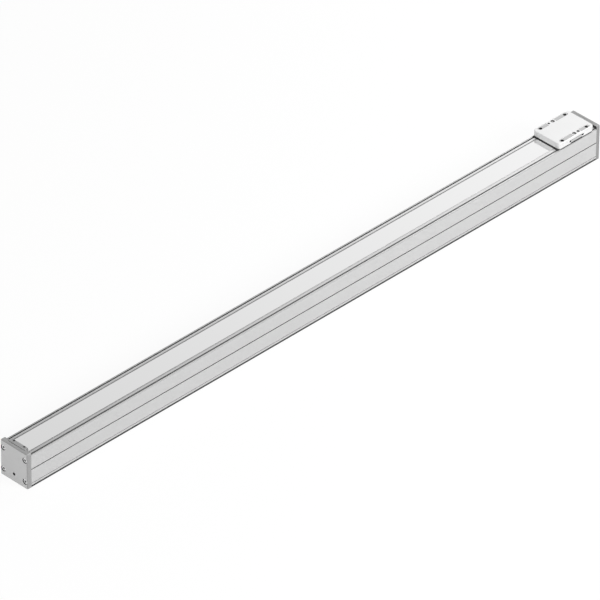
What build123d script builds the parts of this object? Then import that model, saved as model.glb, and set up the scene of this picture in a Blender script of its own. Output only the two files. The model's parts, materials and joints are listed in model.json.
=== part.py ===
from build123d import *
import os

# Overall size. X is the travel direction, Y the width, Z up from the mounting face.
overall_length = 1275.0
width = 60.0
profile_height = 60.0
plate_rise = 5.4
plate_thickness = 8.5

# Extruded profile
wall = 2.9
rim_radius = 1.3
rim_inner_radius = 0.3
foot_radius = 0.5
floor_thickness = 3.5
base_thickness = 3.6
base_relief_width = 34.0
base_relief_depth = 0.5
chamber_wall = 4.0
web_width = 19.0
web_chamber_width = 11.0
web_chamber_height = 4.6
chamber_radius = 0.8
end_boss_radius = 3.9
clamp_groove_bottom = 0.9
clamp_groove_height = 2.0
clamp_groove_depth = 3.4
foot_line_height = 7.5
foot_line_width = 0.7
foot_line_depth = 0.8
sensor_slot_height = 33.85
sensor_slot_mouth = 1.6
sensor_slot_lip = 1.5
sensor_slot_inner_width = 3.6
sensor_slot_inner_depth = 2.1
sensor_pad_height = 7.0
sensor_pad_wall = 2.0

# Cover carrier and stainless cover strip
side_slot_width = 2.6
flange_thickness = 1.8
carrier_box_height = 8.2
carrier_wall = 1.6
strip_ledge = 3.8
strip_groove_width = 2.4
strip_groove_depth = 0.9
strip_thickness = 0.3
strip_end_gap = 0.5

# End plates and what they carry
plate_edge_radius = 2.2
plate_corner_radius = 2.5
end_screw_inset = 6.0
end_screw_low = 11.5
end_screw_drop = 8.2
end_screw_recess = 1.2
port_drop = 4.2
port_core_diameter = 4.2
mouth_chamfer = 0.3
air_pocket_width = 10.0
air_pocket_depth = 3.0
air_pocket_margin = 2.4
tongue_length = 1.5
tongue_clearance = 0.15
gasket_width = 1.4
gasket_inset = 0.8
gasket_thickness = 0.5

# Strip clamps
clamp_strip_inset = 0.3
clamp_length = 7.9
clamp_seat = 2.5
clamp_front_gap = 0.7
clamp_rise = 0.4
clamp_side_gap = 0.15
clamp_edge_radius = 0.4
clamp_screw_inset = 11.8
clamp_screw_wall_inset = 2.5

# Guide rail and its screws
rail_width = 15.0
rail_height = 15.0
rail_end_gap = 1.0
rail_pitch = 60.0
rail_chamfer = 0.9
rail_counterbore_depth = 5.3
rail_screw_length = 16.0

# Ball guide
ball_diameter = 3.175
ball_fit = 0.05
ball_row_offset = 0.6
ball_row_low = 7.6
ball_row_high = 12.2
balls_per_row = 3
return_bore_offset = 5.0
return_bore_diameter = 3.5

# Runner block on the rail
runner_width = 34.0
runner_length = 42.0
runner_bottom = 4.3
runner_height = 19.7
runner_side_gap = 1.2
runner_top_gap = 1.0
runner_chamfer = 1.4
runner_cap_length = 6.0
runner_cap_inset = 0.4
runner_cap_gap = 0.6
runner_seal_length = 1.6
runner_seal_gap = 0.35
runner_screw_spacing = 26.0
runner_screw_length = 9.0
grease_bore_diameter = 2.6
grease_bore_height = 16.0

# Yoke between the runner block and the arms
yoke_length = 70.0
yoke_base_thickness = 6.0
yoke_wall = 3.0
yoke_boss_gap = 0.6
yoke_box_gap = 1.0
yoke_box_clearance = 2.0
yoke_corner_radius = 0.9

# Arms through the side slots
arm_thickness = 1.8
arm_boss_gap = 0.3
arm_flange_inset = 0.3
arm_screw_pitch = 26.0
arm_screw_length = 5.0
arm_screw_inset_top = 6.2
arm_underside_gap = 0.3

# Slide plate
slide_length = 80.2
slide_side_inset = 0.5
slide_thickness = 10.7
slide_gap = 1.5
slide_corner_radius = 5.0
slide_edge_radius = 1.4
slide_thread_spacing_x = 56.4
slide_row_inset = 5.5
slide_thread_core = 4.2
slide_thread_depth = 7.5
slide_thread_chamfer = 0.35
centring_diameter = 7.0
centring_depth = 2.1
small_thread_core = 2.5
small_thread_offset = 9.0
small_thread_depth = 5.0
pocket_width = 8.0
pocket_depth = 0.7
pocket_overrun = 5.8
pocket_inner_long = 5.0
pocket_inner_short = 12.5
recess_length = 26.0
recess_height = 6.3
recess_depth = 0.8
side_thread_spacing = 29.2
side_thread_height = 4.5
side_thread_depth = 4.0

# Wipers under the slide's ends and seals under its long edges
wiper_length = 5.0
wiper_reach = 0.5
wiper_gap = 0.15
wiper_tab_depth = 1.6
wiper_arm_gap = 1.1
slide_clamp_gap = 1.0
side_seal_width = 1.9
side_seal_inset = 0.05

# Stop buffers inside the end plates
buffer_diameter = 5.4
buffer_seat = 1.0
buffer_spacing = 24.0
rest_gap = 0.4

# Screws: thread diameter, head diameter, head height and key size
thread_clearance = 0.02
head_clearance = 0.25
m5_diameter = 5.0
m5_head_diameter = 8.5
m5_head_height = 5.0
m5_key = 4.0
m5_length = 16.0
m5_hole = 5.5
m4_diameter = 4.0
m4_head_diameter = 7.0
m4_head_height = 4.0
m4_key = 3.0
m4_hole = 4.5
m3_diameter = 3.0
m3_head_diameter = 4.4
m3_head_height = 2.0
m3_key = 2.0
m3_length = 6.6
m25_diameter = 2.5
m25_head_diameter = 4.4
m25_sink_diameter = 4.6
countersink_angle = 90.0

# Lengths along the travel worked out from the sizes above
profile_length = overall_length - 2 * plate_thickness
plate_inner_x = profile_length / 2
rail_length = profile_length - 2 * rail_end_gap
rail_screw_count = int(rail_length // rail_pitch) + 1
carriage_x = plate_inner_x + clamp_seat - clamp_length - slide_clamp_gap - slide_length / 2
buffer_length = plate_inner_x - carriage_x - yoke_length / 2 - rest_gap
arm_length = slide_length + 2 * (wiper_reach - wiper_length - wiper_arm_gap)

# Levels worked out from the mounting face up and from the cover down
plate_height = profile_height + plate_rise
flange_bottom = profile_height - flange_thickness
box_bottom = flange_bottom - carrier_box_height
yoke_top = box_bottom - yoke_box_clearance
runner_top = yoke_top - yoke_base_thickness
runner_base = runner_top - runner_height
floor_top = runner_base - runner_bottom
rail_top = floor_top + rail_height
rail_screw_seat = rail_top - rail_counterbore_depth
ball_rows = (floor_top + ball_row_low, floor_top + ball_row_high)
port_height = floor_top - port_drop
end_screw_high = profile_height - end_screw_drop
arm_bottom = end_screw_high + end_boss_radius + arm_boss_gap
slide_bottom = profile_height + slide_gap
slide_top = slide_bottom + slide_thickness
arm_top = slide_bottom - arm_underside_gap + arm_thickness

# Half widths worked out from the walls in
cavity_half = width / 2 - wall
flange_half = cavity_half - side_slot_width
strip_width = 2 * (flange_half - strip_ledge - strip_groove_width)
clamp_width = strip_width - 2 * clamp_strip_inset
end_screw_y = width / 2 - end_screw_inset
yoke_half = end_screw_y - end_boss_radius - yoke_boss_gap
carrier_box_width = 2 * (yoke_half - yoke_wall - yoke_box_gap)
clamp_screw_spacing = carrier_box_width - 2 * (carrier_wall + clamp_screw_wall_inset)
arm_web_outer = cavity_half - (side_slot_width - arm_thickness) / 2
arm_flange = arm_web_outer - (yoke_half - yoke_wall + arm_flange_inset)
slide_width = width - 2 * slide_side_inset
slide_row_y = slide_width / 2 - slide_row_inset
ball_row_y = rail_width / 2 + ball_row_offset
carriage_plane = Plane.YZ.offset(carriage_x)
lower = (Align.CENTER, Align.MIN)
upper = (Align.CENTER, Align.MAX)

os.makedirs("parts", exist_ok=True)


def write(piece, label):
    piece.part.label = label
    export_step(piece.part, f"parts/{label}.step")


def write_pair(piece, labels, about):
    """Write a piece and its mirror image about a plane."""
    write(piece, labels[0])
    with BuildPart() as opposite:
        mirror(piece.part, about=about)
    write(opposite, labels[1])


def hole_mouths(piece, diameter, outward):
    """The round edges of one diameter that lie furthest out along an axis."""
    rims = piece.edges().filter_by(GeomType.CIRCLE).filter_by(lambda rim: abs(2 * rim.radius - diameter) < 1e-4)
    return rims.group_by(outward)[-1]


def socket_screw(diameter, head_diameter, head_height, key, length):
    """A socket head screw pointing down, with the underside of its head at the origin."""
    with BuildPart() as screw:
        Cylinder(head_diameter / 2, head_height, align=(Align.CENTER, Align.CENTER, Align.MIN))
        chamfer(screw.edges().group_by(Axis.Z)[-1], head_height * 0.08)
        with BuildSketch(Plane.XY.offset(head_height)):
            RegularPolygon(key / 2, 6, major_radius=False)
        extrude(amount=-head_height * 0.55, mode=Mode.SUBTRACT)
        with BuildSketch():
            Circle(diameter / 2)
        extrude(amount=-length)
    return screw.part


def countersunk_screw(diameter, head_diameter, length):
    """A 90 degree countersunk screw pointing down, with its flat head face at the origin."""
    head_height = (head_diameter - diameter) / 2
    with BuildPart() as screw:
        with BuildSketch(Plane.XZ):
            with BuildLine():
                Polyline(
                    (0, 0),
                    (head_diameter / 2, 0),
                    (diameter / 2, -head_height),
                    (diameter / 2, -length),
                    (0, -length),
                    close=True,
                )
            make_face()
        revolve(axis=Axis.Z)
    return screw.part


# Profile: a U-shaped extrusion with end screw bosses, sensor slots and clamp grooves
end_screw_points = [
    (side * end_screw_y, height)
    for side in (-1, 1)
    for height in (end_screw_low, end_screw_high)
]
rail_screw_xs = [(number - (rail_screw_count - 1) / 2) * rail_pitch for number in range(rail_screw_count)]
chamber_outer = width / 2 - chamber_wall
chamber_width = chamber_outer - web_width / 2
chamber_height = floor_top - floor_thickness - base_thickness
sensor_slot_depth = sensor_slot_lip + sensor_slot_inner_depth
sensor_pad_depth = sensor_slot_depth + sensor_pad_wall - wall

with BuildPart() as profile:
    with BuildSketch(Plane.YZ.offset(-profile_length / 2)) as profile_section:
        Rectangle(width, profile_height, align=lower)
        with Locations((0, floor_top)):
            Rectangle(2 * cavity_half, profile_height, align=lower, mode=Mode.SUBTRACT)
        rim_corners = profile_section.vertices().group_by(Axis.Y)[-1].sort_by(Axis.X)
        fillet(rim_corners[1:-1], rim_inner_radius)
        rim_corners = profile_section.vertices().group_by(Axis.Y)[-1].sort_by(Axis.X)
        fillet([rim_corners[0], rim_corners[-1]], rim_radius)
        fillet(profile_section.vertices().group_by(Axis.Y)[0], foot_radius)
        Rectangle(base_relief_width, base_relief_depth, align=lower, mode=Mode.SUBTRACT)
        with Locations((0, base_thickness + web_chamber_height / 2)):
            RectangleRounded(web_chamber_width, web_chamber_height, chamber_radius, mode=Mode.SUBTRACT)
        for side in (-1, 1):
            with Locations((side * (web_width + chamber_width) / 2, base_thickness + chamber_height / 2)):
                RectangleRounded(chamber_width, chamber_height, chamber_radius, mode=Mode.SUBTRACT)
            with Locations((side * (cavity_half - sensor_pad_depth / 2), sensor_slot_height)):
                Rectangle(sensor_pad_depth, sensor_pad_height)
            with Locations((side * (width / 2 - sensor_slot_depth / 2), sensor_slot_height)):
                Rectangle(sensor_slot_depth, sensor_slot_mouth, mode=Mode.SUBTRACT)
            with Locations((side * (width / 2 - sensor_slot_lip - sensor_slot_inner_depth / 2), sensor_slot_height)):
                Rectangle(sensor_slot_inner_depth, sensor_slot_inner_width, mode=Mode.SUBTRACT)
            with Locations((side * (width - clamp_groove_depth) / 2, clamp_groove_bottom)):
                Rectangle(clamp_groove_depth, clamp_groove_height, align=lower, mode=Mode.SUBTRACT)
            with Locations((side * (width - foot_line_depth) / 2, foot_line_height)):
                Rectangle(foot_line_depth, foot_line_width, mode=Mode.SUBTRACT)
        with Locations(*end_screw_points):
            Circle(end_boss_radius)
            Circle(m5_diameter / 2 + thread_clearance, mode=Mode.SUBTRACT)
    extrude(amount=profile_length)
    with BuildSketch(Plane.XY.offset(floor_top)):
        with Locations(*[(x, 0) for x in rail_screw_xs]):
            Circle(m4_diameter / 2 + thread_clearance)
    extrude(amount=-(rail_screw_length - rail_screw_seat + floor_top + thread_clearance), mode=Mode.SUBTRACT)
write(profile, "profile")

# Guide rail: ball grooves along both flanks and a row of counterbored fixing holes
with BuildPart() as guide_rail:
    with BuildSketch(Plane.YZ.offset(-rail_length / 2)) as rail_section:
        with Locations((0, floor_top)):
            Rectangle(rail_width, rail_height, align=lower)
        chamfer(rail_section.vertices().group_by(Axis.Y)[-1], rail_chamfer)
        with Locations(*[(side * ball_row_y, z) for side in (-1, 1) for z in ball_rows]):
            Circle(ball_diameter / 2 + ball_fit, mode=Mode.SUBTRACT)
    extrude(amount=rail_length)
    with Locations(*[Location((x, 0, rail_top)) for x in rail_screw_xs]):
        CounterBoreHole(
            radius=m4_hole / 2,
            counter_bore_radius=m4_head_diameter / 2 + head_clearance,
            counter_bore_depth=rail_counterbore_depth,
            depth=rail_height,
        )
write(guide_rail, "guide_rail")

rail_screw = socket_screw(m4_diameter, m4_head_diameter, m4_head_height, m4_key, rail_screw_length)
with BuildPart() as rail_screws:
    with Locations(*[Location((x, 0, rail_screw_seat)) for x in rail_screw_xs]):
        add(rail_screw)
write(rail_screws, "rail_screws")

# Cover carrier: a flat hollow extrusion that bears the strip and leaves a slot on each side
clamp_screw_x = plate_inner_x + plate_thickness - clamp_screw_inset
clamp_screw_points = [
    (end * clamp_screw_x, side * clamp_screw_spacing / 2) for end in (-1, 1) for side in (-1, 1)
]
hollow_width = carrier_box_width - 2 * carrier_wall
hollow_bottom = box_bottom + carrier_wall
hollow_height = flange_bottom - hollow_bottom

with BuildPart() as cover_carrier:
    with BuildSketch(Plane.YZ.offset(-profile_length / 2)):
        with Locations((0, profile_height)):
            Rectangle(2 * flange_half, flange_thickness, align=upper)
            Rectangle(strip_width, strip_thickness, align=upper, mode=Mode.SUBTRACT)
        with Locations(*[(side * (strip_width + strip_groove_width) / 2, profile_height) for side in (-1, 1)]):
            Rectangle(strip_groove_width, strip_groove_depth, align=upper, mode=Mode.SUBTRACT)
        with Locations((0, flange_bottom)):
            Rectangle(carrier_box_width, carrier_box_height, align=upper)
        with Locations((0, hollow_bottom + hollow_height / 2)):
            RectangleRounded(hollow_width, hollow_height, chamber_radius, mode=Mode.SUBTRACT)
    extrude(amount=profile_length)
    with BuildSketch(Plane.XY.offset(profile_height)):
        with Locations(*clamp_screw_points):
            Circle(m3_diameter / 2 + thread_clearance)
    extrude(amount=-flange_thickness, mode=Mode.SUBTRACT)
write(cover_carrier, "cover_carrier")

with BuildPart() as cover_strip:
    with BuildSketch(Plane.XY.offset(profile_height)):
        Rectangle(profile_length - 2 * strip_end_gap, strip_width)
        with Locations(*clamp_screw_points):
            Circle(m3_diameter / 2 + thread_clearance, mode=Mode.SUBTRACT)
    extrude(amount=-strip_thickness)
write(cover_strip, "cover_strip")

# End plates: milled covers with counterbored screw holes, an air port and a clamp seat
plate_outer_plane = Plane(origin=(-overall_length / 2, 0, 0), x_dir=(0, -1, 0), z_dir=(-1, 0, 0))
plate_inner_plane = Plane.YZ.offset(-plate_inner_x)
gasket_outer_width = width - 2 * gasket_inset
gasket_top = box_bottom - air_pocket_margin
buffer_height = runner_top + yoke_base_thickness / 2
buffer_points = [(side * buffer_spacing / 2, buffer_height) for side in (-1, 1)]


def gasket_outline():
    """U-shaped seal that follows the profile's walls and base."""
    with BuildSketch(plate_inner_plane) as outline:
        with Locations((0, gasket_inset)):
            Rectangle(gasket_outer_width, gasket_top - gasket_inset, align=lower)
        with Locations((0, gasket_inset + gasket_width)):
            Rectangle(gasket_outer_width - 2 * gasket_width, gasket_top, align=lower, mode=Mode.SUBTRACT)
    return outline.sketch


with BuildPart() as end_plate:
    with BuildSketch(plate_inner_plane):
        Rectangle(width, plate_height, align=lower)
    extrude(amount=-plate_thickness)
    top_edges = end_plate.edges().group_by(Axis.Z)[-1]
    fillet(top_edges.filter_by(Axis.X), plate_corner_radius)
    outer_face = end_plate.faces().sort_by(Axis.X)[0]
    fillet(outer_face.edges().filter_by(Axis.Y, reverse=True), plate_edge_radius)
    with BuildSketch(plate_inner_plane):
        with Locations((0, profile_height)):
            Rectangle(clamp_width + 2 * clamp_side_gap, plate_height, align=lower)
    extrude(amount=-clamp_seat - clamp_front_gap, mode=Mode.SUBTRACT)
    with Locations(*[plate_outer_plane * Location((y, z, 0)) for y, z in end_screw_points]):
        CounterBoreHole(
            radius=m5_hole / 2,
            counter_bore_radius=m5_head_diameter / 2 + 2 * head_clearance,
            counter_bore_depth=m5_head_height + end_screw_recess,
            depth=plate_thickness,
        )
    with BuildSketch(plate_outer_plane):
        with Locations((0, port_height)):
            Circle(port_core_diameter / 2)
    extrude(amount=-plate_thickness, mode=Mode.SUBTRACT)
    chamfer(hole_mouths(end_plate, port_core_diameter, -Axis.X), mouth_chamfer)
    counterbore_diameter = m5_head_diameter + 4 * head_clearance
    chamfer(hole_mouths(end_plate, counterbore_diameter, -Axis.X), mouth_chamfer)
    with BuildSketch(plate_inner_plane):
        with Locations((0, port_height - air_pocket_margin)):
            Rectangle(air_pocket_width, rail_top - port_height + air_pocket_margin, align=lower)
    extrude(amount=-air_pocket_depth, mode=Mode.SUBTRACT)
    add(extrude(gasket_outline(), amount=-gasket_thickness, mode=Mode.PRIVATE), mode=Mode.SUBTRACT)
    with BuildSketch(plate_inner_plane):
        with Locations(*buffer_points):
            Circle(buffer_diameter / 2 + thread_clearance)
    extrude(amount=-buffer_seat, mode=Mode.SUBTRACT)
    with BuildSketch(plate_inner_plane):
        with Locations((0, hollow_bottom + hollow_height / 2)):
            tongue_height = hollow_height - 2 * tongue_clearance
            RectangleRounded(hollow_width - 2 * tongue_clearance, tongue_height, chamber_radius)
    extrude(amount=tongue_length)
write_pair(end_plate, ("end_plate_near", "end_plate_far"), Plane.YZ)

with BuildPart() as end_gasket:
    extrude(gasket_outline(), amount=-gasket_thickness)
write_pair(end_gasket, ("end_gasket_near", "end_gasket_far"), Plane.YZ)

end_screw = socket_screw(m5_diameter, m5_head_diameter, m5_head_height, m5_key, m5_length)
end_screw_seat = plate_outer_plane.offset(-m5_head_height - end_screw_recess)
with BuildPart() as end_screws:
    with Locations(*[end_screw_seat * Location((y, z, 0)) for y, z in end_screw_points]):
        add(end_screw)
write_pair(end_screws, ("end_screws_near", "end_screws_far"), Plane.YZ)

with BuildPart() as stop_buffers:
    with BuildSketch(plate_inner_plane.offset(-buffer_seat)):
        with Locations(*buffer_points):
            Circle(buffer_diameter / 2)
    extrude(amount=buffer_seat + buffer_length)
    chamfer(stop_buffers.faces().group_by(Axis.X)[-1].edges(), buffer_diameter * 0.12)
write_pair(stop_buffers, ("stop_buffers_near", "stop_buffers_far"), Plane.YZ)

# Strip clamps: a bar seated in the end plate that presses the strip's end on the carrier
clamp_top = plate_height + clamp_rise
near_clamp_screws = [(x, y) for x, y in clamp_screw_points if x < 0]
clamp_screw_seat = clamp_top - m3_head_height - head_clearance

with BuildPart() as strip_clamp:
    with BuildSketch(Plane.XY.offset(profile_height)):
        with Locations((-plate_inner_x - clamp_seat, 0)):
            Rectangle(clamp_length, clamp_width, align=(Align.MIN, Align.CENTER))
    extrude(amount=clamp_top - profile_height)
    fillet(strip_clamp.edges().group_by(Axis.Z)[-1], clamp_edge_radius)
    with Locations(*[Location((x, y, clamp_top)) for x, y in near_clamp_screws]):
        CounterBoreHole(
            radius=m3_diameter / 2 + thread_clearance,
            counter_bore_radius=m3_head_diameter / 2 + thread_clearance,
            counter_bore_depth=clamp_top - clamp_screw_seat,
            depth=clamp_top - profile_height,
        )
write_pair(strip_clamp, ("strip_clamp_near", "strip_clamp_far"), Plane.YZ)

clamp_screw = socket_screw(m3_diameter, m3_head_diameter, m3_head_height, m3_key, m3_length)
with BuildPart() as clamp_screws:
    with Locations(*[Location((x, y, clamp_screw_seat)) for x, y in near_clamp_screws]):
        add(clamp_screw)
write_pair(clamp_screws, ("clamp_screws_near", "clamp_screws_far"), Plane.YZ)

# Runner block: a saddle on the rail with four ball rows and their return bores
return_bore_y = ball_row_y + return_bore_offset
runner_screw_points = [
    (carriage_x + x * runner_screw_spacing / 2, y * runner_screw_spacing / 2) for x in (-1, 1) for y in (-1, 1)
]
runner_screw_seat = yoke_top - m4_head_height - head_clearance
runner_thread_depth = runner_screw_length - (runner_screw_seat - runner_top) + thread_clearance


def saddle_outline(plane, inset, gap_side, gap_top):
    """The runner's cross-section, open at the bottom for the rail."""
    with BuildSketch(plane) as outline:
        with Locations((0, runner_base + inset)):
            Rectangle(runner_width - 2 * inset, runner_height - 2 * inset, align=lower)
        chamfer(outline.vertices(), runner_chamfer)
        with Locations((0, runner_base)):
            Rectangle(
                rail_width + 2 * gap_side,
                rail_top + gap_top - runner_base,
                align=lower,
                mode=Mode.SUBTRACT,
            )
    return outline.sketch


runner_end_plane = carriage_plane.offset(-runner_length / 2)
with BuildPart() as runner_block:
    extrude(saddle_outline(runner_end_plane, 0, runner_side_gap, runner_top_gap), amount=runner_length)
    with BuildSketch(runner_end_plane):
        with Locations(*[(side * ball_row_y, z) for side in (-1, 1) for z in ball_rows]):
            Circle(ball_diameter / 2 + ball_fit)
        with Locations(*[(side * return_bore_y, z) for side in (-1, 1) for z in ball_rows]):
            Circle(return_bore_diameter / 2)
    extrude(amount=runner_length, mode=Mode.SUBTRACT)
    with BuildSketch(Plane.XY.offset(runner_top)):
        with Locations(*runner_screw_points):
            Circle(m4_diameter / 2 + thread_clearance)
    extrude(amount=-runner_thread_depth, mode=Mode.SUBTRACT)
write(runner_block, "runner_block")

with BuildPart() as bearing_balls:
    ball_pitch = runner_length / balls_per_row
    row_xs = [carriage_x + (number - (balls_per_row - 1) / 2) * ball_pitch for number in range(balls_per_row)]
    with Locations(*[(x, side * ball_row_y, z) for x in row_xs for side in (-1, 1) for z in ball_rows]):
        Sphere(ball_diameter / 2)
write(bearing_balls, "bearing_balls")

with BuildPart() as runner_end_cap:
    extrude(
        saddle_outline(runner_end_plane, runner_cap_inset, runner_cap_gap, runner_cap_gap),
        amount=-runner_cap_length,
    )
    with BuildSketch(runner_end_plane):
        with Locations(*[(side * (ball_row_y + return_bore_y) / 2, z) for side in (-1, 1) for z in ball_rows]):
            SlotOverall(return_bore_offset + return_bore_diameter, return_bore_diameter)
    extrude(amount=-return_bore_diameter, mode=Mode.SUBTRACT)
    with BuildSketch(runner_end_plane.offset(-runner_cap_length)):
        with Locations((0, floor_top + grease_bore_height + grease_bore_diameter)):
            Circle(grease_bore_diameter / 2)
    extrude(amount=runner_cap_length, mode=Mode.SUBTRACT)
write_pair(runner_end_cap, ("runner_end_cap_near", "runner_end_cap_far"), carriage_plane)

with BuildPart() as runner_seal:
    extrude(
        saddle_outline(
            runner_end_plane.offset(-runner_cap_length),
            2 * runner_cap_inset,
            runner_seal_gap,
            runner_seal_gap,
        ),
        amount=-runner_seal_length,
    )
write_pair(runner_seal, ("runner_seal_near", "runner_seal_far"), carriage_plane)

# Yoke: a U-shaped bridge that clears the carrier's box and takes the arms on its walls
arm_screw_xs = [carriage_x + number * arm_screw_pitch for number in (-1, 0, 1)]
yoke_wall_y = yoke_half - yoke_wall / 2
arm_low_screw_points = [(x, side * yoke_wall_y) for x in arm_screw_xs for side in (-1, 1)]

with BuildPart() as yoke:
    with BuildSketch(carriage_plane.offset(-yoke_length / 2)) as yoke_section:
        with Locations((0, runner_top)):
            Rectangle(2 * yoke_half, arm_bottom - runner_top, align=lower)
        with Locations((0, yoke_top)):
            Rectangle(2 * (yoke_half - yoke_wall), arm_bottom, align=lower, mode=Mode.SUBTRACT)
        fillet(yoke_section.vertices().group_by(Axis.Y)[1], yoke_corner_radius)
        chamfer(yoke_section.vertices().group_by(Axis.Y)[0], yoke_corner_radius)
    extrude(amount=yoke_length)
    with Locations(*[Location((x, y, yoke_top)) for x, y in runner_screw_points]):
        CounterBoreHole(
            radius=m4_hole / 2,
            counter_bore_radius=m4_head_diameter / 2 + head_clearance,
            counter_bore_depth=yoke_top - runner_screw_seat,
            depth=yoke_base_thickness,
        )
    with BuildSketch(Plane.XY.offset(arm_bottom)):
        with Locations(*arm_low_screw_points):
            Circle(m25_diameter / 2 + thread_clearance)
    extrude(amount=-arm_screw_length, mode=Mode.SUBTRACT)
write(yoke, "yoke")

runner_screw = socket_screw(m4_diameter, m4_head_diameter, m4_head_height, m4_key, runner_screw_length)
with BuildPart() as runner_screws:
    with Locations(*[Location((x, y, runner_screw_seat)) for x, y in runner_screw_points]):
        add(runner_screw)
write(runner_screws, "runner_screws")

# Arms: C-shaped steel brackets that pass through the side slots around the carrier's flange
arm_top_screw_y = arm_web_outer - arm_screw_inset_top
arm_top_screw_points = [(x, side * arm_top_screw_y) for x in arm_screw_xs for side in (-1, 1)]
arm_flange_x = (Align.MAX, Align.MIN)

with BuildPart() as arm_bracket:
    with BuildSketch(carriage_plane.offset(-arm_length / 2)):
        with Locations((arm_web_outer, arm_bottom)):
            Rectangle(arm_thickness, arm_top - arm_bottom, align=arm_flange_x)
            Rectangle(arm_flange, arm_thickness, align=arm_flange_x)
        with Locations((arm_web_outer, arm_top - arm_thickness)):
            Rectangle(arm_flange, arm_thickness, align=arm_flange_x)
    extrude(amount=arm_length)
    low_screws = [Location((x, y, arm_bottom + arm_thickness)) for x, y in arm_low_screw_points if y > 0]
    top_screws = [Location((x, y, arm_top - arm_thickness), (180, 0, 0)) for x, y in arm_top_screw_points if y > 0]
    with Locations(*low_screws, *top_screws):
        CounterSinkHole(
            radius=m25_diameter / 2 + thread_clearance,
            counter_sink_radius=m25_sink_diameter / 2,
            depth=arm_thickness,
            counter_sink_angle=countersink_angle,
        )
write_pair(arm_bracket, ("arm_bracket_left", "arm_bracket_right"), Plane.XZ)

arm_screw = countersunk_screw(m25_diameter, m25_head_diameter, arm_screw_length)
with BuildPart() as arm_screws:
    with Locations(*[Location((x, y, arm_bottom + arm_thickness)) for x, y in arm_low_screw_points]):
        add(arm_screw)
    with Locations(*[Location((x, y, arm_top - arm_thickness), (180, 0, 0)) for x, y in arm_top_screw_points]):
        add(arm_screw)
write(arm_screws, "arm_screws")

# Slide plate: threads and centring holes in shallow milled tracks, relieved underneath
pocket_end = slide_thread_spacing_x / 2 + pocket_overrun
slide_centre_top = Plane((carriage_x, 0, slide_top))
slide_sides = [
    Plane(origin=(carriage_x, side * slide_width / 2, slide_bottom), x_dir=(-side, 0, 0), z_dir=(0, side, 0))
    for side in (-1, 1)
]


def track_pocket(row, inner, outward):
    """Half-round ended pocket from near the middle hole to past the outer thread."""
    length = pocket_end - inner
    with Locations((outward * (inner + (length - pocket_width / 2) / 2), row * slide_row_y)):
        Rectangle(length - pocket_width / 2, pocket_width)
    with Locations((outward * (pocket_end - pocket_width / 2), row * slide_row_y)):
        Circle(pocket_width / 2)


with BuildPart() as slide_plate:
    with BuildSketch(Plane((carriage_x, 0, slide_bottom))):
        RectangleRounded(slide_length, slide_width, slide_corner_radius)
    extrude(amount=slide_top - slide_bottom)
    fillet(slide_plate.edges().group_by(Axis.Z)[-1], slide_edge_radius)
    with BuildSketch(slide_centre_top):
        for row in (-1, 1):
            track_pocket(row, pocket_inner_short, -row)
            track_pocket(row, pocket_inner_long, row)
    extrude(amount=-pocket_depth, mode=Mode.SUBTRACT)
    with BuildSketch(slide_centre_top):
        with GridLocations(slide_thread_spacing_x, 2 * slide_row_y, 2, 2):
            Circle(slide_thread_core / 2)
    extrude(amount=-slide_thread_depth, mode=Mode.SUBTRACT)
    chamfer(hole_mouths(slide_plate, slide_thread_core, Axis.Z), slide_thread_chamfer)
    with BuildSketch(slide_centre_top):
        with GridLocations(1, 2 * slide_row_y, 1, 2):
            Circle(centring_diameter / 2)
    extrude(amount=-centring_depth, mode=Mode.SUBTRACT)
    with BuildSketch(slide_centre_top):
        with Locations(*[(-row * small_thread_offset, row * slide_row_y) for row in (-1, 1)]):
            Circle(small_thread_core / 2)
    extrude(amount=-small_thread_depth, mode=Mode.SUBTRACT)
    for slide_side in slide_sides:
        with BuildSketch(slide_side):
            Rectangle(recess_length, recess_height, align=lower)
        extrude(amount=-recess_depth, mode=Mode.SUBTRACT)
        with BuildSketch(slide_side):
            with Locations(*[(end * side_thread_spacing / 2, side_thread_height) for end in (-1, 1)]):
                Circle(small_thread_core / 2)
        extrude(amount=-side_thread_depth, mode=Mode.SUBTRACT)
    with BuildSketch(Plane((carriage_x, 0, slide_bottom))):
        for side in (-1, 1):
            with Locations((0, side * (arm_web_outer - arm_flange / 2))):
                Rectangle(arm_length, arm_flange)
    extrude(amount=arm_top - slide_bottom, mode=Mode.SUBTRACT)
    with BuildSketch(Plane((carriage_x, 0, arm_top))):
        with Locations(*[(x - carriage_x, y) for x, y in arm_top_screw_points]):
            Circle(m25_diameter / 2 + thread_clearance)
    extrude(amount=arm_screw_length, mode=Mode.SUBTRACT)
write(slide_plate, "slide_plate")

# Wipers: black lips under the slide's ends, with tabs that follow the side slots
with BuildPart() as slide_wiper:
    wiper_outer_x = carriage_x - slide_length / 2 - wiper_reach
    with BuildSketch(Plane.XY.offset(slide_bottom)):
        with Locations((wiper_outer_x, 0)):
            Rectangle(wiper_length, 2 * arm_web_outer, align=(Align.MIN, Align.CENTER))
    extrude(amount=-(slide_gap - wiper_gap))
    lip_edge = slide_wiper.faces().sort_by(Axis.X)[0].edges().filter_by(Axis.Y).sort_by(Axis.Z)[-1]
    chamfer(lip_edge, wiper_reach * 0.8)
    with BuildSketch(Plane.XY.offset(profile_height + wiper_gap)):
        for side in (-1, 1):
            with Locations((wiper_outer_x + wiper_reach, side * (arm_web_outer - arm_thickness / 2))):
                Rectangle(wiper_length - wiper_reach, arm_thickness, align=(Align.MIN, Align.CENTER))
    extrude(amount=-(wiper_gap + wiper_tab_depth))
write_pair(slide_wiper, ("slide_wiper_near", "slide_wiper_far"), carriage_plane)

# Side seals: black lips under the slide's long edges that close the gap above the profile's rims
side_seal_length = slide_length - 2 * slide_corner_radius

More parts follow.
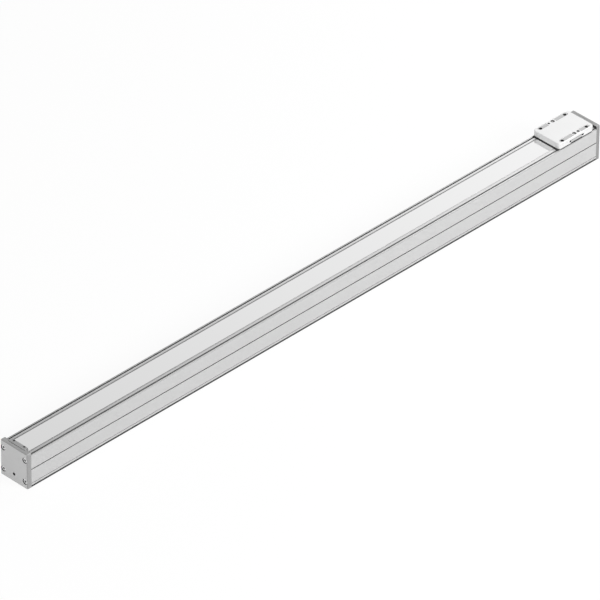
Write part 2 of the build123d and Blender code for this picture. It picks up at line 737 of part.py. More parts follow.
with BuildPart() as side_seal:
    with BuildSketch(carriage_plane.offset(-side_seal_length / 2)):
        with Locations((slide_width / 2 - side_seal_inset, slide_bottom)):
            Rectangle(side_seal_width, slide_gap - wiper_gap, align=(Align.MAX, Align.MAX))
    extrude(amount=side_seal_length)
write_pair(side_seal, ("side_seal_left", "side_seal_right"), Plane.XZ)
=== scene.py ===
import json
import math
import bmesh
import bpy
from mathutils import Matrix, Vector


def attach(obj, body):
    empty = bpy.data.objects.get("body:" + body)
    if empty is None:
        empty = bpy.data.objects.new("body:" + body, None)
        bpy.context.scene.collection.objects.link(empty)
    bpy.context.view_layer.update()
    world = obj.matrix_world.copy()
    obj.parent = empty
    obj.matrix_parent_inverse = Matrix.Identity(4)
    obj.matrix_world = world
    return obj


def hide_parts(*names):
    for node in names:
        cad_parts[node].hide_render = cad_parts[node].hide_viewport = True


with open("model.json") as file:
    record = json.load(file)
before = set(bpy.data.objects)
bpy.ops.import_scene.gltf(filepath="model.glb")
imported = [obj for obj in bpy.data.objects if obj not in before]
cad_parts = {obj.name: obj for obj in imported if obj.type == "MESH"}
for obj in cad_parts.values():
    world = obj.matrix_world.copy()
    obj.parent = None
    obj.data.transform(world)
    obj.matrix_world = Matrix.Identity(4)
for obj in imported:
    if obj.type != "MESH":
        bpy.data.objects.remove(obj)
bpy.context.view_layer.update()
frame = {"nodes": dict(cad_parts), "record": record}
nodes = frame["nodes"]
mm = 0.001
print("frame loaded:", len(nodes), "nodes")


class Wire:
    # one socket that takes part in Python expressions

    def __init__(self, graph, socket):
        self.graph = graph
        self.socket = socket

    def maths(self, operation, *values):
        inputs = dict(enumerate(values))
        return self.graph.node("Math", {"operation": operation}, inputs)

    def __add__(self, other):
        return self.maths("ADD", self, other)

    def __radd__(self, other):
        return self.maths("ADD", other, self)

    def __sub__(self, other):
        return self.maths("SUBTRACT", self, other)

    def __rsub__(self, other):
        return self.maths("SUBTRACT", other, self)

    def __mul__(self, other):
        return self.maths("MULTIPLY", self, other)

    def __rmul__(self, other):
        return self.maths("MULTIPLY", other, self)

    def __truediv__(self, other):
        return self.maths("DIVIDE", self, other)

    def over(self, edge):
        return self.maths("GREATER_THAN", self, edge)

    def under(self, edge):
        return self.maths("LESS_THAN", self, edge)

    def size(self):
        return self.maths("ABSOLUTE", self)

    def part(self, name):
        # another output of the same node
        return Wire(self.graph, self.socket.node.outputs[name])


class Graph:
    # a node tree with one method that adds any node
    families = {
        "Math": "ShaderNode", "CombineXYZ": "ShaderNode", "GroupInput": "Node", "GroupOutput": "Node",
        "RandomValue": "FunctionNode",
    }

    def __init__(self, tree, prefix):
        self.tree = tree
        self.prefix = prefix

    def node(self, kind, settings=None, inputs=None, output=0):
        made = self.tree.nodes.new(self.families.get(kind, self.prefix) + kind)
        for name, value in (settings or {}).items():
            setattr(made, name, value)
        for name, value in (inputs or {}).items():
            if isinstance(value, Wire):
                self.tree.links.new(value.socket, made.inputs[name])
            else:
                made.inputs[name].default_value = value
        # the tree's own output node has no socket to pass on
        return Wire(self, made.outputs[output]) if len(made.outputs) else None


def newMaterial(name):
    material = bpy.data.materials.new(name)
    material.use_nodes = True
    material.node_tree.nodes.clear()
    return material, Graph(material.node_tree, "ShaderNode")


def grey(value):
    return (value, value, value, 1)


axisLength = 1.275  # over both end plates


def paintZones(graph, place, colour, look):
    # some faces get their own tones: painted shade inside slots and bores, painted light and shade on
    # rims and edges, a lighter front face on the end plates, and a painted fall-off of light along the
    # axis
    x = graph.node("SeparateXYZ", {}, {"Vector": place})
    if "paintedFalloff" in look:
        near, far = look["paintedFalloff"]
        lightFalloff = (near + far) / 2 + (far - near) / axisLength * x
        colour = graph.node("MixRGB", {"blend_type": "MULTIPLY"}, {
            "Fac": 1.0, "Color1": colour, "Color2": lightFalloff,
        })
    if "zones" not in look:
        return colour
    ahead = x - look.get("centre", 0) * mm
    left = x.part("Y")
    along = {"x": ahead.size(), "y": left.size(), "z": x.part("Z"), "ahead": ahead, "left": left}
    for zone in look["zones"]:
        mask = None
        for axis, (low, high) in zone["span"].items():
            inside = along[axis].over(low * mm) * along[axis].under(high * mm)
            mask = inside if mask is None else mask * inside
        if "bore" in zone:
            axes, at, radius = zone["bore"]
            across = along[axes[0]] - at[0] * mm
            beside = along[axes[1]] - at[1] * mm
            mask = mask * (across * across + beside * beside).under((radius * mm) ** 2)
        tone = grey(zone["colour"])
        if "far" in zone:
            tone = graph.node("MixRGB", {}, {
                "Fac": x / axisLength + 0.5, "Color1": tone, "Color2": grey(zone["far"]),
            })
        colour = graph.node("MixRGB", {}, {"Fac": mask, "Color1": colour, "Color2": tone})
    return colour


# Metal that was drawn, extruded or ground: streaks along the axis.
# Zones are in mm. x and y are distances from the middle, ahead and left keep their sign, and far is
# the tone at the far end: this change of tone along the axis is painted light.
extrudedProfile = {
    "colour": 0.665, "dark": 0.625, "metallic": 0.15, "roughness": 0.42, "spread": 0.10,
    "stretch": (1.2, 900, 900), "bump": 0.06, "depth": 0.03,
    # Painted shade inside the clamp grooves, the side slots and the hollows under the top, on the bottom
    # lip and on the wall above the grooves. The rims and their outer rounding carry painted light and
    # shade: the right rim is painted lighter than the left, and both grow lighter towards the far end.
    "zones": [
        {"colour": 0.015, "span": {"y": (0, 29.9), "z": (0.7, 3.1)}},
        {"colour": 0.06, "span": {"y": (0, 29.9), "z": (3.1, 58.2)}},
        {"colour": 0.12, "span": {"y": (0, 27.25), "z": (58.2, 59.85)}},
        {"colour": 0.40, "far": 0.66, "span": {"left": (26, 28.9), "z": (59.93, 61)}},
        {"colour": 0.52, "far": 0.84, "span": {"left": (-28.9, -26), "z": (59.93, 61)}},
        {"colour": 0.24, "far": 0.48, "span": {"left": (28.6, 30.2), "z": (58.6, 61)}},
        {"colour": 0.50, "far": 0.53, "span": {"left": (-30.2, -28.85), "z": (58.6, 61)}},
        {"colour": 0.26, "span": {"y": (29.4, 30.2), "z": (-1, 0.95)}},
        {"colour": 0.16, "far": 0.24, "span": {"y": (29.4, 30.2), "z": (2.85, 3.9)}},
    ],
}
# Painted shade on every face below the top, with the right-hand channel painted lighter, and a painted
# fall-off of light that brightens the carrier towards the far end.
carrierProfile = {
    "colour": 0.62, "dark": 0.56, "metallic": 0.15, "roughness": 0.36, "spread": 0.10,
    "stretch": (1.2, 900, 900), "bump": 0.06, "depth": 0.03, "paintedFalloff": (0.92, 1.52),
    "zones": [
        {"colour": 0.30, "far": 0.38, "span": {"y": (0, 30), "z": (0, 59.9)}},
        {"colour": 0.36, "far": 0.75, "span": {"left": (-21, -18), "z": (0, 59.9)}},
    ],
}
# The strip's tone grows lighter towards the far end: a painted fall-off of light.
stripSteel = {
    "colour": 0.82, "dark": 0.80, "metallic": 1.0, "roughness": 0.08, "spread": 0.04,
    "stretch": (3.0, 2600, 2600), "bump": 0.05, "depth": 0.02, "paintedFalloff": (0.825, 1.13),
}
groundSteel = {
    "colour": 0.55, "dark": 0.48, "metallic": 0.9, "roughness": 0.28, "spread": 0.10,
    "stretch": (6.0, 3000, 3000), "bump": 0.06, "depth": 0.02,
}


def finishSurface(graph, look, place, mix, sheen, relief):
    # the mix runs between the two tones, the sheen moves the roughness and the relief the bump
    colour = graph.node("MixRGB", {}, {
        "Fac": mix, "Color1": grey(look["dark"]), "Color2": grey(look["colour"]),
    })
    colour = paintZones(graph, place, colour, look)
    rough = look["roughness"] - look["spread"] / 2 + look["spread"] * sheen
    bump = graph.node("Bump", {}, {
        "Strength": look["bump"], "Distance": look["depth"] * mm, "Height": relief,
    })
    shader = graph.node("BsdfPrincipled", {}, {
        "Base Color": colour, "Metallic": look["metallic"], "Roughness": rough, "Normal": bump,
    })
    graph.node("OutputMaterial", {}, {"Surface": shader})


streakPattern = {
    "detail": 5.0, "roughness": 0.6, "share": 0.7, "cloudScale": 14.0, "cloudDetail": 3.0,
}


def streakedMetal(name, look):
    material, graph = newMaterial(name)
    place = graph.node("TexCoord", output="Object")
    stretched = graph.node("Mapping", {}, {"Vector": place, "Scale": look["stretch"]})
    pattern = streakPattern
    streaks = graph.node("TexNoise", {}, {
        "Vector": stretched, "Scale": 1.0, "Detail": pattern["detail"], "Roughness": pattern["roughness"],
    })
    clouds = graph.node("TexNoise", {}, {
        "Vector": place, "Scale": pattern["cloudScale"], "Detail": pattern["cloudDetail"],
    })
    mix = pattern["share"] * streaks + (1 - pattern["share"]) * clouds
    finishSurface(graph, look, place, mix, streaks, streaks)
    return material


# Everything with an even grain: blasted, cast, plated or anodised metal, plastic and rubber.
# Zones are measured from centre, and a bore is a round zone: its axes, its middle and its radius.
slideFinish = {
    "colour": 0.91, "dark": 0.88, "metallic": 0.12, "roughness": 0.45, "spread": 0.10,
    "grain": 2600.0, "bump": 0.10, "depth": 0.03, "clouds": 40.0, "centre": 582.5,
    # Painted shade: the shadow under the top edges of the side recesses, the walls of the centring holes,
    # the underside and a line round the foot of the slide, and the threaded holes with rings round their
    # mouths. The pocket floors, the side recess floors and the floors of the centring holes are painted a
    # mid grey.
    "zones": [
        {"colour": 0.55, "span": {"x": (0, 34.2), "y": (19.5, 28.05), "z": (71.4, 71.6)}},
        {"colour": 0.62, "span": {"x": (0, 13.05), "y": (28.6, 28.8), "z": (61.0, 67.85)}},
        {"colour": 0.16, "span": {"x": (0, 13.05), "y": (28.0, 28.8), "z": (66.0, 67.9)}},
        {"colour": 0.12, "span": {"z": (70.13, 72.1)}, "bore": ("xy", (0.0, 24.0), 3.53)},
        {"colour": 0.50, "span": {"z": (69.9, 70.13)}, "bore": ("xy", (0.0, 24.0), 3.53)},
        {"colour": 0.20, "span": {"z": (61.0, 61.56)}},
        {"colour": 0.08, "span": {"z": (61.56, 62.15)}},
        {"colour": 0.012, "span": {"z": (64.0, 71.55)}, "bore": ("xy", (28.2, 24.0), 2.95)},
        {"colour": 0.012, "span": {"z": (66.0, 72.3)}, "bore": (("ahead", "left"), (-9.0, 24.0), 2.1)},
        {"colour": 0.012, "span": {"z": (66.0, 72.3)}, "bore": (("ahead", "left"), (9.0, -24.0), 2.6)},
        {"colour": 0.012, "span": {"y": (25.0, 29.6)}, "bore": ("xz", (14.6, 66.0), 2.0)},
    ],
}
# Painted shade on the inner faces, in the counterbores, in the air ports and in the gap beside the strip
# clamp. The front face is painted lighter than the sides, and the painted fall-off of light makes the far
# plate darker.
plateFinish = {
    "colour": 0.40, "dark": 0.36, "metallic": 0.25, "roughness": 0.45, "spread": 0.12,
    "grain": 1900.0, "bump": 0.14, "depth": 0.04, "clouds": 55.0, "paintedFalloff": (1.0, 0.85),
    "zones": [
        {"colour": 0.07, "span": {"x": (600.0, 629.05)}},
        {"colour": 0.63, "span": {"x": (637.42, 638.0)}},
        {"colour": 0.03, "span": {"x": (600.0, 637.3)}, "bore": ("yz", (24.0, 11.5), 4.85)},
        {"colour": 0.03, "span": {"x": (600.0, 637.3)}, "bore": ("yz", (24.0, 51.8), 4.85)},
        {"colour": 0.015, "span": {"x": (600.0, 638.0)}, "bore": ("yz", (0.0, 13.8), 2.75)},
        {"colour": 0.10, "span": {"x": (628.9, 632.3), "y": (0, 18.2), "z": (59.9, 65.35)}},
    ],
}
clampFinish = {
    "colour": 0.40, "dark": 0.36, "metallic": 0.25, "roughness": 0.42, "spread": 0.12,
    "grain": 1900.0, "bump": 0.12, "depth": 0.03, "clouds": 70.0,
}
zincFinish = {
    "colour": 0.90, "dark": 0.80, "metallic": 0.85, "roughness": 0.30, "spread": 0.12,
    "grain": 2400.0, "bump": 0.08, "depth": 0.02, "clouds": 220.0,
}
bracketFinish = {
    "colour": 0.50, "dark": 0.42, "metallic": 0.7, "roughness": 0.36, "spread": 0.14,
    "grain": 2000.0, "bump": 0.10, "depth": 0.02, "clouds": 120.0,
}
yokeFinish = {
    "colour": 0.62, "dark": 0.56, "metallic": 0.5, "roughness": 0.38, "spread": 0.12,
    "grain": 1800.0, "bump": 0.10, "depth": 0.03, "clouds": 60.0,
}
ballFinish = {
    "colour": 0.75, "dark": 0.70, "metallic": 1.0, "roughness": 0.10, "spread": 0.04,
    "grain": 900.0, "bump": 0.02, "depth": 0.01, "clouds": 300.0,
}
blackOxide = {
    "colour": 0.045, "dark": 0.025, "metallic": 0.4, "roughness": 0.42, "spread": 0.16,
    "grain": 2400.0, "bump": 0.12, "depth": 0.02, "clouds": 260.0,
}
blackPlastic = {
    "colour": 0.035, "dark": 0.022, "metallic": 0.0, "roughness": 0.52, "spread": 0.12,
    "grain": 1500.0, "bump": 0.16, "depth": 0.04, "clouds": 120.0,
}
blackRubber = {
    "colour": 0.024, "dark": 0.014, "metallic": 0.0, "roughness": 0.75, "spread": 0.14,
    "grain": 1200.0, "bump": 0.22, "depth": 0.05, "clouds": 90.0,
}
# Dark tone of the black clamp screws, and painted shade on the thread ridges inside the bores.
blackScrewAndThreadShade = {
    "colour": 0.10, "dark": 0.03, "metallic": 0.5, "roughness": 0.35, "spread": 0.14,
    "grain": 3200.0, "bump": 0.10, "depth": 0.01, "clouds": 420.0,
}


grainPattern = {"detail": 3.0, "cloudDetail": 4.0, "share": 0.45}


def grainedFinish(name, look):
    material, graph = newMaterial(name)
    place = graph.node("TexCoord", output="Object")
    pattern = grainPattern
    grain = graph.node("TexNoise", {}, {
        "Vector": place, "Scale": look["grain"], "Detail": pattern["detail"],
    })
    clouds = graph.node("TexNoise", {}, {
        "Vector": place, "Scale": look["clouds"], "Detail": pattern["cloudDetail"],
    })
    mix = pattern["share"] * grain + (1 - pattern["share"]) * clouds
    finishSurface(graph, look, place, mix, clouds, grain)
    return material


finishes = {
    "profile_aluminium": streakedMetal("extrudedProfile", extrudedProfile),
    "carrier_aluminium": streakedMetal("carrierProfile", carrierProfile),
    "strip_steel": streakedMetal("stripSteel", stripSteel),
    "guide_steel": streakedMetal("groundSteel", groundSteel),
    "slide_aluminium": grainedFinish("slideFinish", slideFinish),
    "plate_aluminium": grainedFinish("plateFinish", plateFinish),
    "zinc_screws": grainedFinish("zincFinish", zincFinish),
    "bracket_steel": grainedFinish("bracketFinish", bracketFinish),
    "yoke_aluminium": grainedFinish("yokeFinish", yokeFinish),
    "ball_steel": grainedFinish("ballFinish", ballFinish),
    "black_screws": grainedFinish("blackOxide", blackOxide),
    "cap_plastic": grainedFinish("blackPlastic", blackPlastic),
    "seal_rubber": grainedFinish("blackRubber", blackRubber),
}
clampMetal = grainedFinish("clampFinish", clampFinish)
blackScrewAndThreadShadeMetal = grainedFinish("blackScrewAndThreadShade", blackScrewAndThreadShade)


def dressNodes():
    for part in frame["record"]["subparts"]:
        piece = nodes[part["node"]]
        piece.data.materials.clear()
        piece.data.materials.append(finishes[part["material_slot"]])
    for end in ("near", "far"):
        nodes["strip_clamp_" + end].data.materials[0] = clampMetal


dressNodes()
print("CAD nodes dressed")


def newTree(name, inputs):
    tree = bpy.data.node_groups.new(name, "GeometryNodeTree")
    tree.interface.new_socket("Geometry", in_out="INPUT", socket_type="NodeSocketGeometry")
    for title, kind in inputs.items():
        tree.interface.new_socket(title, in_out="INPUT", socket_type="NodeSocket" + kind)
    tree.interface.new_socket("Geometry", in_out="OUTPUT", socket_type="NodeSocketGeometry")
    return Graph(tree, "GeometryNode")


def bakePiece(name, points, graph, values, body):
    # points carry the tree's instances, and the result becomes one plain mesh
    mesh = bpy.data.meshes.new(name)
    mesh.from_pydata([[value * mm for value in point] for point in points], [], [])
    piece = bpy.data.objects.new(name, mesh)
    bpy.context.scene.collection.objects.link(piece)
    modifier = piece.modifiers.new("build", "NODES")
    modifier.node_group = graph.tree
    for socket in graph.tree.interface.items_tree:
        if socket.in_out == "INPUT" and socket.name in values:
            modifier[socket.identifier] = values[socket.name]
    seen = piece.evaluated_get(bpy.context.evaluated_depsgraph_get())
    piece.data = bpy.data.meshes.new_from_object(seen)
    piece.modifiers.clear()
    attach(piece, body)
    return piece


def threadTree():
    # a closed helical ridge that winds down from each point. Its centre line runs a little inside
    # the bore, by a share of the ridge's radius.
    proud = 0.45
    graph = newTree("threadRidge", {
        "Core": "Float", "Ridge": "Float", "Pitch": "Float", "Depth": "Float", "Tilt": "Vector",
        "Metal": "Material",
    })
    given = graph.node("GroupInput")
    core, ridge, depth = given.part("Core"), given.part("Ridge"), given.part("Depth")
    middle = core - proud * ridge
    spiral = graph.node("CurveSpiral", {}, {
        "Resolution": 20, "Rotations": depth / given.part("Pitch"), "Start Radius": middle,
        "End Radius": middle, "Height": depth,
    })
    section = graph.node("CurvePrimitiveCircle", {"mode": "RADIUS"}, {"Resolution": 4, "Radius": ridge})
    turns = graph.node("CurveToMesh", {}, {
        "Curve": spiral, "Profile Curve": section, "Fill Caps": True,
    })
    sunk = graph.node("Transform", {}, {
        "Geometry": turns, "Translation": graph.node("CombineXYZ", {}, {"Z": 0 - depth}),
    })
    placed = graph.node("InstanceOnPoints", {}, {
        "Points": given, "Instance": sunk, "Rotation": given.part("Tilt"),
    })
    real = graph.node("RealizeInstances", {}, {"Geometry": placed})
    dressed = graph.node("SetMaterial", {}, {"Geometry": real, "Material": given.part("Metal")})
    graph.node("GroupOutput", {}, {"Geometry": dressed})
    return graph


# Threads in the slide and in the air ports, in mm. The tilt turns a thread's axis from +Z.
quarter = math.pi / 2
threadSizes = {
    "M5": {"core": 2.1, "ridge": 0.17, "pitch": 0.8},
    "M3": {"core": 1.25, "ridge": 0.11, "pitch": 0.5},
}
threads = {
    "slideThreads": {
        "body": "slide_body", "slot": "slide_aluminium", "size": "M5", "depth": 5.9, "tilt": (0, 0, 0),
        "mouths": [(x, y, 70.9) for y in (-24, 24) for x in (554.3, 610.7)],
    },
    "slideSmallThreads": {
        "body": "slide_body", "slot": "slide_aluminium", "size": "M3", "depth": 3.9, "tilt": (0, 0, 0),
        "mouths": [(573.5, 24, 71.2), (591.5, -24, 71.2)],
    },
    "slideSideThreadsRight": {
        "body": "slide_body", "slot": "slide_aluminium", "size": "M3", "depth": 3.5,
        "tilt": (quarter, 0, 0), "mouths": [(567.9, -29.2, 66), (597.1, -29.2, 66)],
    },
    "slideSideThreadsLeft": {
        "body": "slide_body", "slot": "slide_aluminium", "size": "M3", "depth": 3.5,
        "tilt": (-quarter, 0, 0), "mouths": [(567.9, 29.2, 66), (597.1, 29.2, 66)],
    },
    "portThreadNear": {
        "body": "axis_body", "slot": "plate_aluminium", "size": "M5", "depth": 4.6,
        "tilt": (0, -quarter, 0), "mouths": [(-637.0, 0, 13.8)],
    },
    "portThreadFar": {
        "body": "axis_body", "slot": "plate_aluminium", "size": "M5", "depth": 4.6,
        "tilt": (0, quarter, 0), "mouths": [(637.0, 0, 13.8)],
    },
}


def addThreads():
    graph = threadTree()
    for name, look in threads.items():
        size = threadSizes[look["size"]]
        # The ridges take the dark tone as painted shade inside the bores.
        values = {
            "Core": size["core"] * mm, "Ridge": size["ridge"] * mm, "Pitch": size["pitch"] * mm,
            "Depth": look["depth"] * mm, "Tilt": look["tilt"], "Metal": blackScrewAndThreadShadeMetal,
        }
        bakePiece(name, look["mouths"], graph, values, look["body"])


addThreads()
print("threads cut")


# Socket head screws, in mm: they replace the plain CAD screws
# The sockets take a darker material than the heads, as painted shade: steel grey in the end screws, black
# rubber in the clamp screws.
capScrews = {
    "endScrew": {
        "head": 8.5, "height": 5.0, "key": 4.0, "shank": 5.0, "length": 16.0, "knurlDepth": 0.12,
        "chamfer": 0.45, "sides": 48, "slot": "zinc_screws", "metal": finishes["zinc_screws"],
        "hollow": finishes["bracket_steel"],
    },
    "clampScrew": {
        "head": 4.4, "height": 2.0, "key": 2.0, "shank": 3.0, "length": 6.6, "knurlDepth": 0.0,
        "chamfer": 0.25, "sides": 36, "slot": "zinc_screws", "metal": blackScrewAndThreadShadeMetal,
        "hollow": finishes["seal_rubber"],
    },
}
# What both have in common: two lengths in mm, and shares of a radius or of the head's height
screwForm = {
    "tipLength": 0.6, "rimHeight": 0.2, "tip": 0.8, "rim": 0.96, "mouth": 1.2, "mouthDepth": 0.12,
    "socketFloor": 0.45, "socketPoint": 0.4,
}


def hexagonReach(angle, half):
    # from the middle to the hexagon's wall, where half is half its width across the flats
    return half / math.cos((angle + math.pi / 6) % (math.pi / 3) - math.pi / 6)


def capScrewMesh(name, look):
    # rings of points from the shank's tip over the head and down into the socket
    head, shank, key = look["head"] / 2, look["shank"] / 2, look["key"] / 2
    top, tip = look["height"], -look["length"]
    form = screwForm
    rings = [
        ("round", shank * form["tip"], tip), ("round", shank, tip + form["tipLength"]),
        ("round", shank, 0), ("round", head * form["rim"], 0), ("knurl", head, form["rimHeight"]),
        ("knurl", head, top - look["chamfer"]), ("round", head - look["chamfer"], top),
        ("round", key * form["mouth"], top), ("hexagon", key, top - form["mouthDepth"] * key),
        ("hexagon", key, top * form["socketFloor"]),
    ]
    socketRings = 3  # the last ones, from the socket's mouth down
    mesh = bmesh.new()
    layer = mesh.faces.layers.bool.new("socket")
    loops = []
    for shape, radius, height in rings:
        loop = []
        for side in range(look["sides"]):
            angle = math.tau * side / look["sides"]
            reach = hexagonReach(angle, radius) if shape == "hexagon" else radius
            if shape == "knurl" and side % 2:
                reach -= look["knurlDepth"]
            spot = Vector((reach * math.cos(angle), reach * math.sin(angle), height))
            loop.append(mesh.verts.new(spot * mm))
        loops.append(loop)
    bottom = mesh.verts.new(Vector((0, 0, tip)) * mm)
    deep = mesh.verts.new(Vector((0, 0, top * form["socketPoint"])) * mm)
    for side in range(look["sides"]):
        after = (side + 1) % look["sides"]
        for level in range(len(rings) - 1):
            lower, upper = loops[level], loops[level + 1]
            face = mesh.faces.new((lower[side], lower[after], upper[after], upper[side]))
            face[layer] = level >= len(rings) - socketRings
        mesh.faces.new((bottom, loops[0][after], loops[0][side]))
        mesh.faces.new((loops[-1][side], loops[-1][after], deep))[layer] = True
    made = bpy.data.meshes.new(name)
    mesh.to_mesh(made)
    mesh.free()
    return made


def screwTree():
    # one screw on every point, each turned by its own amount of up to 1 radian
    graph = newTree("screwSet", {
        "Screw": "Object", "Tilt": "Vector", "Seed": "Int", "Metal": "Material", "SocketShade": "Material",
    })
    given = graph.node("GroupInput")
    screw = graph.node("ObjectInfo", {}, {"Object": given.part("Screw")}, "Geometry")
    placed = graph.node("InstanceOnPoints", {}, {
        "Points": given, "Instance": screw, "Rotation": given.part("Tilt"),
    })
    floatOutput = 1
    turn = graph.node("RandomValue", {"data_type": "FLOAT"}, {
        "Min": 0.0, "Max": 1.0, "Seed": given.part("Seed"),
    }, floatOutput)
    spun = graph.node("RotateInstances", {}, {
        "Instances": placed, "Rotation": graph.node("CombineXYZ", {}, {"Z": turn}), "Local Space": True,
    })
    real = graph.node("RealizeInstances", {}, {"Geometry": spun})
    dressed = graph.node("SetMaterial", {}, {"Geometry": real, "Material": given.part("Metal")})
    # the socket's faces take the darker material, painted shade
    socket = graph.node("InputNamedAttribute", {"data_type": "BOOLEAN"}, {"Name": "socket"})
    finished = graph.node("SetMaterial", {}, {
        "Geometry": dressed, "Selection": socket, "Material": given.part("SocketShade"),
    })
    graph.node("GroupOutput", {}, {"Geometry": finished})
    return graph


screwSets = {
    "endScrewSet_near": {
        "screw": "endScrew", "node": "end_screws_near", "tilt": (0, -quarter, 0), "seed": 3,
        "points": [(-631.3, side * 24, height) for side in (-1, 1) for height in (11.5, 51.8)],
    },
    "endScrewSet_far": {
        "screw": "endScrew", "node": "end_screws_far", "tilt": (0, quarter, 0), "seed": 8,
        "points": [(631.3, side * 24, height) for side in (-1, 1) for height in (11.5, 51.8)],
    },
    "clampScrewSet_near": {
        "screw": "clampScrew", "node": "clamp_screws_near", "tilt": (0, 0, 0), "seed": 5,
        "points": [(-625.7, side * 11.4, 63.55) for side in (-1, 1)],
    },
    "clampScrewSet_far": {
        "screw": "clampScrew", "node": "clamp_screws_far", "tilt": (0, 0, 0), "seed": 2,
        "points": [(625.7, side * 11.4, 63.55) for side in (-1, 1)],
    },
}


def addScrews():
    graph = screwTree()
    for kind, look in capScrews.items():
        pattern = bpy.data.objects.new(kind, capScrewMesh(kind, look))
        bpy.context.scene.collection.objects.link(pattern)
        for name, place in screwSets.items():
            if place["screw"] == kind:
                values = {
                    "Screw": pattern, "Tilt": place["tilt"], "Seed": place["seed"],
                    "Metal": look["metal"], "SocketShade": look["hollow"],
                }
                piece = bakePiece(name, place["points"], graph, values, "axis_body")
                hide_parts(place["node"])
        bpy.data.objects.remove(pattern)


addScrews()
print("screws placed")


# Rubber lips of the slide's wipers, in mm: they sweep the ledges beside the strip clamps
wiperLips = {
    "middle": 582.5, "start": 39.6, "inner": 18.7, "outer": 28.4, "rounding": 0.5, "endShare": 0.7,
    "level": 60.8,
    "section": [(0, 60.25), (2.9, 60.25), (3.1, 60.5), (2.9, 60.9), (1.2, 61.35), (0, 61.35)],
}


def lipRing(look, end, across, shrink):
    # the section's reach counts outwards from the slide's end, and it shrinks towards level
    level = look["level"]
    ring = []
    for reach, height in look["section"]:
        along = look["middle"] + end * (look["start"] + reach * shrink)
        ring.append(Vector((along, across, level + (height - level) * shrink)) * mm)
    return ring


def addLips(look):
    mesh = bmesh.new()
    stations = [
        (look["inner"], look["endShare"]), (look["inner"] + look["rounding"], 1.0),
        (look["outer"] - look["rounding"], 1.0), (look["outer"], look["endShare"]),
    ]
    for end in (-1, 1):
        for side in (-1, 1):
            rings = []
            for across, shrink in stations:
                ring = lipRing(look, end, side * across, shrink)
                rings.append([mesh.verts.new(spot) for spot in ring])
            for first, second in zip(rings, rings[1:]):
                for corner in range(len(first)):
                    after = (corner + 1) % len(first)
                    mesh.faces.new((first[corner], first[after], second[after], second[corner]))
            mesh.faces.new(rings[0])
            mesh.faces.new(rings[-1])
    bmesh.ops.recalc_face_normals(mesh, faces=mesh.faces)
    made = bpy.data.meshes.new("wiperLips")
    mesh.to_mesh(made)
    mesh.free()
    made.materials.append(finishes["seal_rubber"])
    piece = bpy.data.objects.new("wiperLips", made)
    bpy.context.scene.collection.objects.link(piece)
    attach(piece, "slide_body")


addLips(wiperLips)
print("wiper lips made")


# Camera: a long lens from the near right, above. Angles in degrees, the lens in mm, the rest in
# metres: right and up shift the camera across its view.
cameraPlace = {
    "azimuth": -45.233, "elevation": 35.646, "roll": 0.447, "distance": 14.0829, "clipShare": 2.5,
    "lens": 536.3, "sensor": 36.0, "aimHeight": 0.0327, "right": -0.01198, "up": -0.00837,
}


def addCamera(place):
    azimuth = math.radians(place["azimuth"])
    elevation = math.radians(place["elevation"])
    roll = math.radians(place["roll"])
    back = Vector((
        math.sin(azimuth) * math.cos(elevation),
        -math.cos(azimuth) * math.cos(elevation),
        math.sin(elevation),
    ))
    level = Vector((math.cos(azimuth), math.sin(azimuth), 0))
    upright = back.cross(level)
    right = level * math.cos(roll) + upright * math.sin(roll)
    up = upright * math.cos(roll) - level * math.sin(roll)
    aim = Vector((0, 0, place["aimHeight"]))
    centre = aim + back * place["distance"] + right * place["right"] + up * place["up"]
    lens = bpy.data.cameras.new("camera")
    lens.lens = place["lens"]
    lens.sensor_width = place["sensor"]
    lens.clip_end = place["clipShare"] * place["distance"]
    camera = bpy.data.objects.new("camera", lens)
    turn = Matrix((right, up, back)).transposed().to_4x4()
    camera.matrix_world = Matrix.Translation(centre) @ turn
    bpy.context.scene.collection.objects.link(camera)
    bpy.context.scene.camera = camera


addCamera(cameraPlace)
print("camera placed")


# Studio: white floor that keeps a faint shadow, pale world, soft lamps. Sizes and places are in
# metres, but the floor's level is in mm.
studio = {
    "floorSize": 30.0, "floorLevel": -0.1, "floorColour": 0.80, "floorGlow": 0.86,
    "glowStrength": 1.06, "worldStrength": 0.32,
    "lamps": [
        {
            "name": "keyLamp", "place": (0.5, -2.6, 1.75), "aim": (0.1, 0, 0),
            "size": (1.6, 1.0), "power": 60.0,
        },
        {
            "name": "topLamp", "place": (1.5, 0.25, 1.4), "aim": (0.4, 0, 0),
            "size": (0.35, 0.35), "power": 8.0,
        },
        {
            "name": "endLamp", "place": (-2.6, -0.3, 0.5), "aim": (-0.6, 0, 0),
            "size": (1.0, 0.8), "power": 10.0,
        },
    ],
}


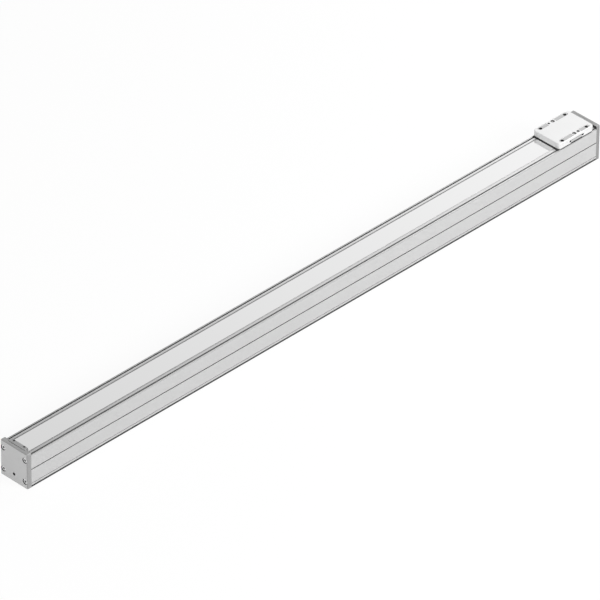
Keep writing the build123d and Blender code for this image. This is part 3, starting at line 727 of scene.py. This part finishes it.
def seenDirectly(graph):
    # 1 for rays from the camera and those that metal or glass sends on, 0 for the light itself
    camera = graph.node("LightPath", output="Is Camera Ray")
    either = camera.maths("MAXIMUM", camera, camera.part("Is Glossy Ray"))
    return either.maths("MAXIMUM", either, camera.part("Is Transmission Ray"))


def addFloor(look):
    mesh = bpy.data.meshes.new("floor")
    half = look["floorSize"] / 2
    level = look["floorLevel"] * mm
    corners = [(-half, -half, level), (half, -half, level), (half, half, level), (-half, half, level)]
    mesh.from_pydata(corners, [], [(0, 1, 2, 3)])
    floor = bpy.data.objects.new("floor", mesh)
    bpy.context.scene.collection.objects.link(floor)
    material, graph = newMaterial("floorPaint")
    paint = graph.node("BsdfDiffuse", {}, {"Color": grey(look["floorColour"])})
    glow = graph.node("Emission", {}, {"Strength": look["glowStrength"]})
    share = seenDirectly(graph) * look["floorGlow"]
    shader = graph.node("MixShader", {}, {0: share, 1: paint, 2: glow})
    graph.node("OutputMaterial", {}, {"Surface": shader})
    mesh.materials.append(material)


def addWorld(look):
    world = bpy.data.worlds.new("world")
    world.use_nodes = True
    world.node_tree.nodes.clear()
    graph = Graph(world.node_tree, "ShaderNode")
    light = graph.node("Background", {}, {"Color": grey(1.0), "Strength": look["worldStrength"]})
    backdrop = graph.node("Background", {}, {"Color": grey(1.0), "Strength": 1.0})
    shader = graph.node("MixShader", {}, {0: seenDirectly(graph), 1: light, 2: backdrop})
    graph.node("OutputWorld", {}, {"Surface": shader})
    bpy.context.scene.world = world


def addLamps(look):
    for lamp in look["lamps"]:
        light = bpy.data.lights.new(lamp["name"], "AREA")
        light.shape = "RECTANGLE"
        light.size, light.size_y = lamp["size"]
        light.energy = lamp["power"]
        piece = bpy.data.objects.new(lamp["name"], light)
        way = Vector(lamp["aim"]) - Vector(lamp["place"])
        turn = way.to_track_quat("-Z", "Y").to_matrix().to_4x4()
        piece.matrix_world = Matrix.Translation(lamp["place"]) @ turn
        bpy.context.scene.collection.objects.link(piece)


addFloor(studio)
addWorld(studio)
addLamps(studio)
bpy.context.scene.view_settings.view_transform = "Standard"
print("studio ready")
